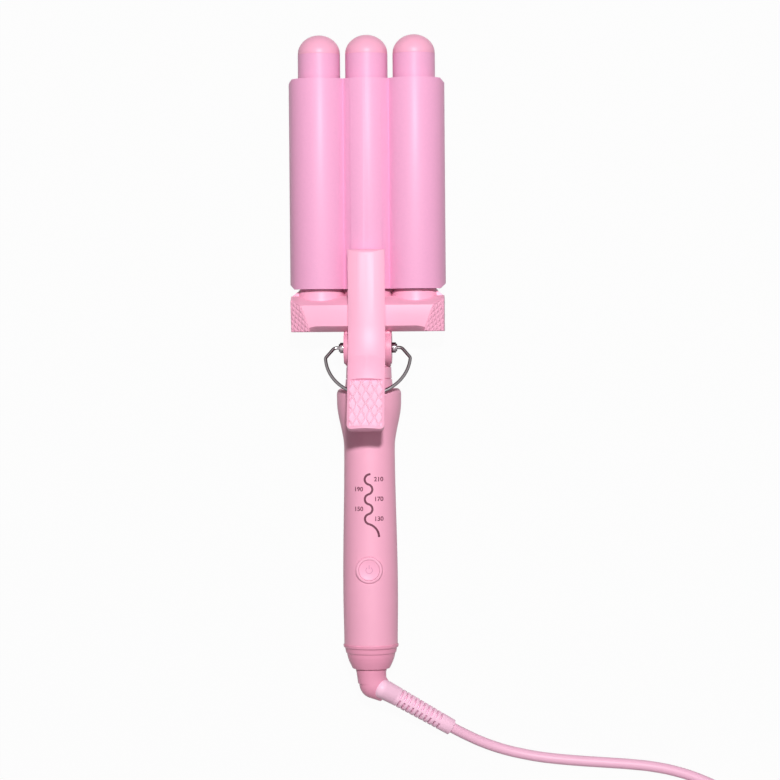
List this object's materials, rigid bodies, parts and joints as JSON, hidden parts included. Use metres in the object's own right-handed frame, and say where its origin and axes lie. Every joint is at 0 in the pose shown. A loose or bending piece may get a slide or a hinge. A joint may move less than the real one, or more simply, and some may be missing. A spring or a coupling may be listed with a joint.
{
  "type": "hair waver",
  "caption": "Hair waver: parallel heated barrels under a sprung clamp plate, pull-off head, wire stand, power button, mains lead on a swivel.",
  "frame": {"origin": "middle of the flat back of the crosspiece, which is the rest face", "axes": "+Y from the handle towards the barrel tips, +Z out of the clamp side, +X to the right seen from the clamp side"},
  "size_m": [0.3002, 0.5576, 0.067],
  "materials": {
    "handle_abs": "satin moulded ABS",
    "head_abs": "satin heat-resistant plastic",
    "coated_aluminium": "glossy ceramic coating on aluminium",
    "steel": "zinc plated",
    "chrome": "polished",
    "nickel": "nickel plated",
    "brass": "plain",
    "white_nylon": "moulded",
    "black_plastic": "moulded",
    "green_board": "glass-fibre laminate",
    "clear_lamp": "clear epoxy",
    "silicone_lead": "silicone sleeve",
    "heater_alloy": "extruded",
    "cord_pvc": "smooth PVC"
  },
  "bodies": {
    "handle": {"handle_front_shell": "handle_abs", "handle_back_shell": "handle_abs", "handle_screws": "steel", "end_ring": "handle_abs", "socket_liner": "white_nylon", "contact_block": "black_plastic", "socket_contacts": "brass", "heater_leads": "silicone_lead", "circuit_board": "green_board", "tact_switch": "black_plastic", "indicator_leds": "clear_lamp", "button_bezel": "handle_abs", "power_leads": "silicone_lead", "swivel_retainer": "white_nylon"},
    "button": {"power_button": "head_abs"},
    "head": {"crosspiece_front": "head_abs", "crosspiece_back": "head_abs", "head_screws": "steel", "hinge_neck": "head_abs", "locking_collar": "head_abs", "plug_body": "white_nylon", "plug_pins": "brass", "head_wiring": "silicone_lead", "barrel_left": "coated_aluminium", "barrel_centre": "coated_aluminium", "barrel_right": "coated_aluminium", "tip_left": "head_abs", "tip_centre": "head_abs", "tip_right": "head_abs", "heat_collar_left": "head_abs", "heat_collar_centre": "head_abs", "heat_collar_right": "head_abs", "heater_left": "heater_alloy", "heater_centre": "heater_alloy", "heater_right": "heater_alloy", "hinge_pin": "chrome", "hinge_bushes": "chrome", "clamp_spring": "steel"},
    "clamp": {"clamp_plate": "coated_aluminium", "thumb_lever": "head_abs", "thumb_pad": "head_abs", "clamp_screws": "steel"},
    "stand": {"wire_stand": "chrome"},
    "swivel": {"swivel_elbow": "handle_abs", "strain_relief": "cord_pvc", "cord": "cord_pvc", "cord_coil": "cord_pvc", "mains_plug": "cord_pvc", "mains_pins": "nickel"}
  },
  "joints": [
    {"name": "head_pull_off", "type": "slide", "parent": "handle", "child": "head", "axis": [0, 1, 0], "range_m": [0, 0.024]},
    {"name": "clamp_hinge", "type": "hinge", "parent": "head", "child": "clamp", "pos_m": [0, -0.02, 0.026], "axis": [1, 0, 0], "range_deg": [0, 14], "stiffness_Nm_per_rad": 0.5, "springref_deg": -28.65, "deforming": ["clamp_spring"]},
    {"name": "stand_hinge", "type": "hinge", "parent": "head", "child": "stand", "pos_m": [0, -0.02, 0.026], "axis": [-1, 0, 0], "range_deg": [0, 6]},
    {"name": "power_button_press", "type": "slide", "parent": "handle", "child": "button", "axis": [0, 0, -1], "range_m": [0, 0.001], "stiffness_N_per_m": 600, "springref_m": -0.001},
    {"name": "cord_swivel", "type": "hinge", "parent": "handle", "child": "swivel", "pos_m": [0, -0.205, 0.019], "axis": [0, 1, 0], "continuous": true}
  ]
}
